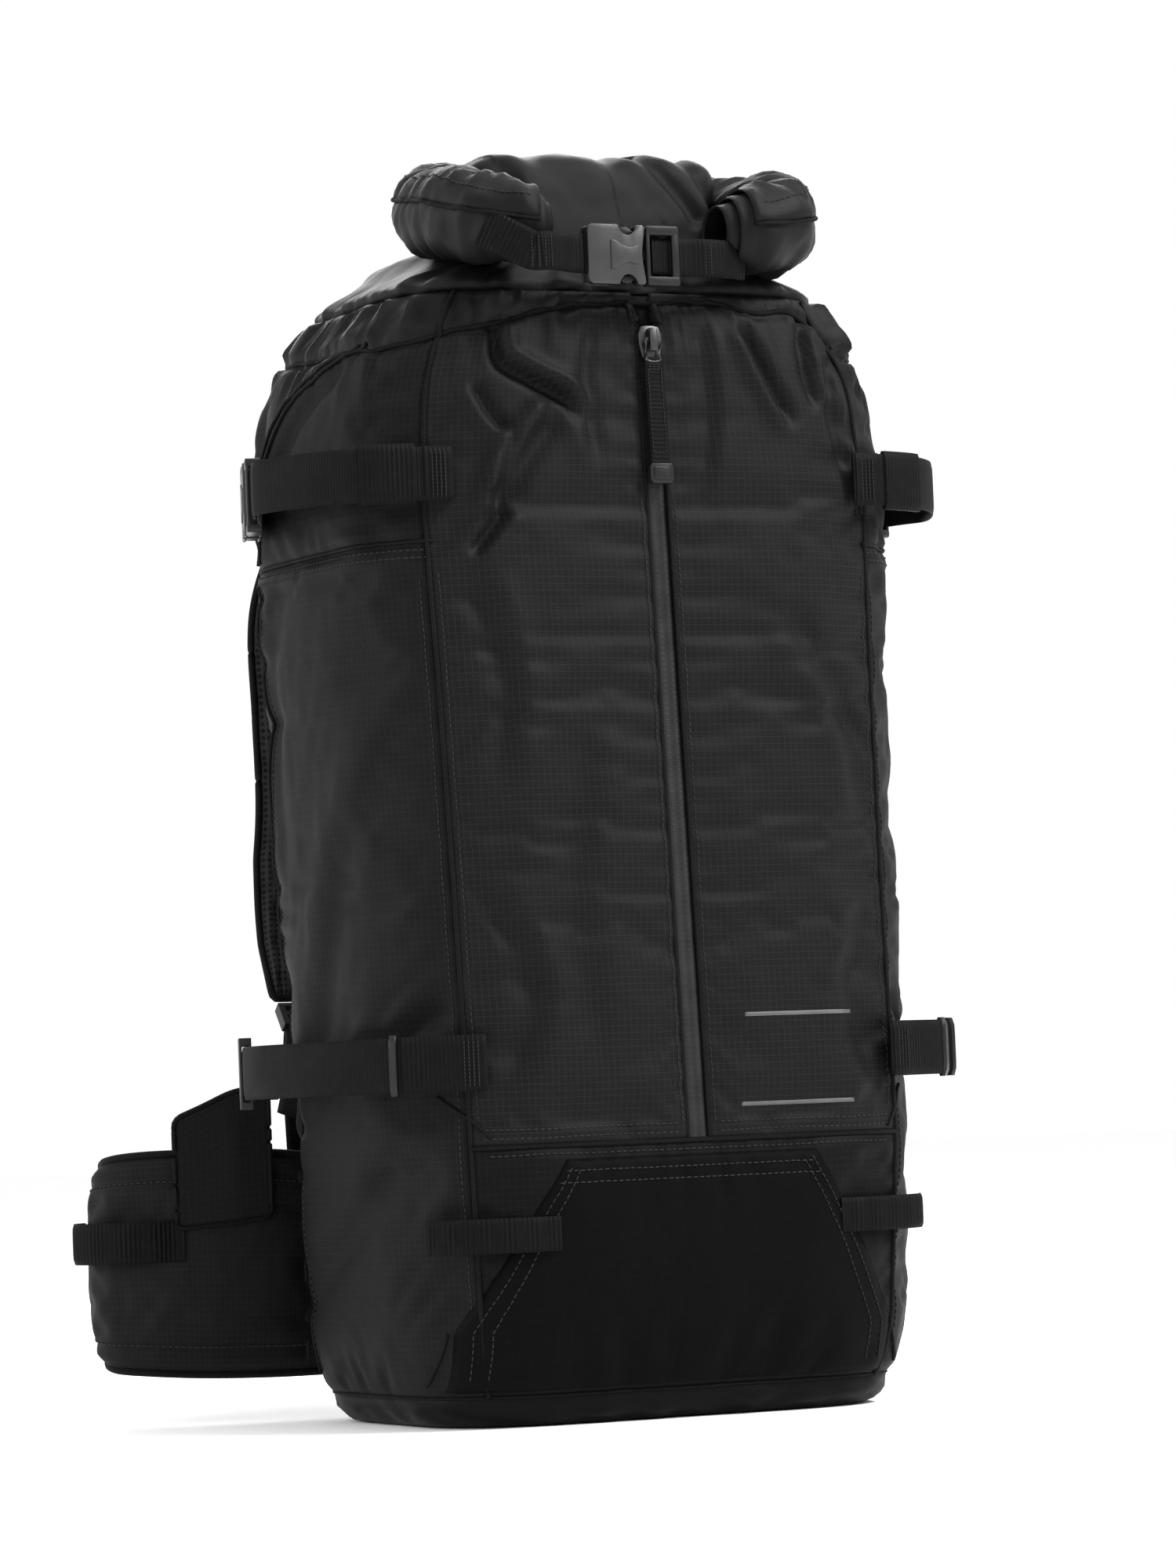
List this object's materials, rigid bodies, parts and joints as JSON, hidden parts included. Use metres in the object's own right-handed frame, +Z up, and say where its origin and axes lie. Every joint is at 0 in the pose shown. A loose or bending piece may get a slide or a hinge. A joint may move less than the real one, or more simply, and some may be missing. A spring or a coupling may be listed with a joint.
{
  "type": "ski backpack",
  "caption": "Roll-top ski-touring backpack with a long front zip, side ski straps, shoulder straps and a hip belt.",
  "frame": {"origin": "middle of the flat base, on the surface that the pack stands on", "axes": "+Z up the pack, -Y out of the zipped front, +Y towards the wearer"},
  "size_m": [0.4362, 0.43, 0.5976],
  "materials": {
    "ripstop": "black ripstop nylon with a fine grid",
    "coated_nylon": "smooth coated nylon, slight sheen",
    "padded_fabric": "black fabric over foam",
    "webbing": "woven black webbing",
    "moulded_plastic": "moulded dark grey acetal",
    "sheet_plastic": "extruded plastic sheet",
    "zip_coating": "grey water-resistant zip coating",
    "aluminium": "brushed bar"
  },
  "bodies": {
    "pack": {"base_panel": "coated_nylon", "side_panel_left": "ripstop", "side_panel_right": "ripstop", "front_panel_left": "ripstop", "front_panel_right": "ripstop", "lower_front_panel": "ripstop", "back_panel": "ripstop", "back_pad": "padded_fabric", "collar": "coated_nylon", "pocket_divider": "coated_nylon", "frame_sheet": "sheet_plastic", "frame_stay": "aluminium", "front_zip_chain": "zip_coating", "lumbar_pad": "padded_fabric", "shoulder_pad_left": "padded_fabric", "shoulder_pad_right": "padded_fabric", "load_lifter_straps": "webbing", "shoulder_webbing": "webbing", "strap_adjusters": "moulded_plastic", "sternum_rails": "moulded_plastic", "haul_loop": "webbing", "axe_loops": "webbing", "ski_strap_upper_left": "webbing", "ski_strap_upper_right": "webbing", "ski_strap_lower_left": "webbing", "ski_strap_lower_right": "webbing", "ski_socket_left": "moulded_plastic", "ski_socket_right": "moulded_plastic", "ski_anchor_webbing": "webbing", "ski_lower_locks": "moulded_plastic"},
    "roll_top": {"rolled_collar": "coated_nylon", "roll_hood": "coated_nylon", "roll_stiffener": "sheet_plastic", "roll_strap_left": "webbing", "roll_strap_right": "webbing", "roll_socket": "moulded_plastic"},
    "roll_plug": {"roll_plug": "moulded_plastic"},
    "roll_prong_upper": {"roll_prong_upper": "moulded_plastic"},
    "roll_prong_lower": {"roll_prong_lower": "moulded_plastic"},
    "zip_slider": {"zip_slider": "moulded_plastic"},
    "zip_puller": {"zip_puller": "webbing", "zip_puller_tip": "moulded_plastic"},
    "ski_plug_left": {"ski_plug_left": "moulded_plastic"},
    "ski_plug_right": {"ski_plug_right": "moulded_plastic"},
    "sternum_left": {"sternum_glider_left": "moulded_plastic", "sternum_webbing_left": "webbing", "sternum_socket": "moulded_plastic"},
    "sternum_right": {"sternum_glider_right": "moulded_plastic", "sternum_webbing_right": "webbing"},
    "sternum_plug": {"sternum_plug": "moulded_plastic"},
    "hip_wing_left": {"hip_wing_left": "padded_fabric", "stabiliser_flap_left": "webbing", "hip_gear_loop_left": "webbing", "hip_webbing_left": "webbing", "hip_socket": "moulded_plastic"},
    "hip_wing_right": {"hip_wing_right": "padded_fabric", "stabiliser_flap_right": "webbing", "hip_gear_loop_right": "webbing", "hip_webbing_right": "webbing"},
    "hip_plug": {"hip_plug": "moulded_plastic"}
  },
  "joints": [
    {"name": "roll_top_open", "type": "hinge", "parent": "pack", "child": "roll_top", "pos_m": [0, 0.09, 0.5283], "axis": [-1, 0, 0], "range_deg": [0, 90]},
    {"name": "roll_buckle_unclip", "type": "slide", "parent": "roll_top", "child": "roll_plug", "axis": [1, 0, 0], "range_m": [0, 0.016]},
    {"name": "roll_prong_press", "type": "hinge", "parent": "roll_plug", "child": "roll_prong_upper", "pos_m": [-0.007, -0.099, 0.5506], "axis": [0, -1, 0], "range_deg": [0, 7], "stiffness_Nm_per_rad": 0.02},
    {"name": "roll_prong_press_lower", "type": "hinge", "parent": "roll_plug", "child": "roll_prong_lower", "pos_m": [-0.007, -0.099, 0.5294], "axis": [0, 1, 0], "range_deg": [0, 7], "stiffness_Nm_per_rad": 0.02},
    {"name": "front_zip_slide", "type": "slide", "parent": "pack", "child": "zip_slider", "axis": [0, -0.0551, -0.9985], "range_m": [0, 0.36]},
    {"name": "zip_puller_swing", "type": "hinge", "parent": "zip_slider", "child": "zip_puller", "pos_m": [0, -0.09035, 0.50247], "axis": [-1, 0, 0], "range_deg": [0, 125]},
    {"name": "ski_strap_left_unclip", "type": "slide", "parent": "pack", "child": "ski_plug_left", "axis": [-0.33, -0.944, 0], "range_m": [0, 0.016]},
    {"name": "ski_strap_right_unclip", "type": "slide", "parent": "pack", "child": "ski_plug_right", "axis": [0.33, -0.944, 0], "range_m": [0, 0.016]},
    {"name": "sternum_slide", "type": "slide", "parent": "pack", "child": "sternum_left", "axis": [0, 0, 1], "range_m": [-0.025, 0.025]},
    {"name": "sternum_slide_right", "type": "slide", "parent": "pack", "child": "sternum_right", "axis": [0, 0, 1], "range_m": [-0.025, 0.025]},
    {"name": "sternum_unclip", "type": "slide", "parent": "sternum_right", "child": "sternum_plug", "axis": [1, 0, 0], "range_m": [0, 0.016]},
    {"name": "hip_wing_left_swing", "type": "hinge", "parent": "pack", "child": "hip_wing_left", "pos_m": [-0.1, 0.108, 0.075], "axis": [0, 0, 1], "range_deg": [0, 35]},
    {"name": "hip_wing_right_swing", "type": "hinge", "parent": "pack", "child": "hip_wing_right", "pos_m": [0.1, 0.108, 0.075], "axis": [0, 0, -1], "range_deg": [-15, 20]},
    {"name": "hip_plug_adjust", "type": "slide", "parent": "hip_wing_right", "child": "hip_plug", "axis": [0.9659, -0.2588, 0], "range_m": [0, 0.03]}
  ],
  "couplings": [
    {"joint": "roll_prong_press_lower", "follows": "roll_prong_press", "ratio": 1},
    {"joint": "sternum_slide_right", "follows": "sternum_slide", "ratio": 1}
  ]
}
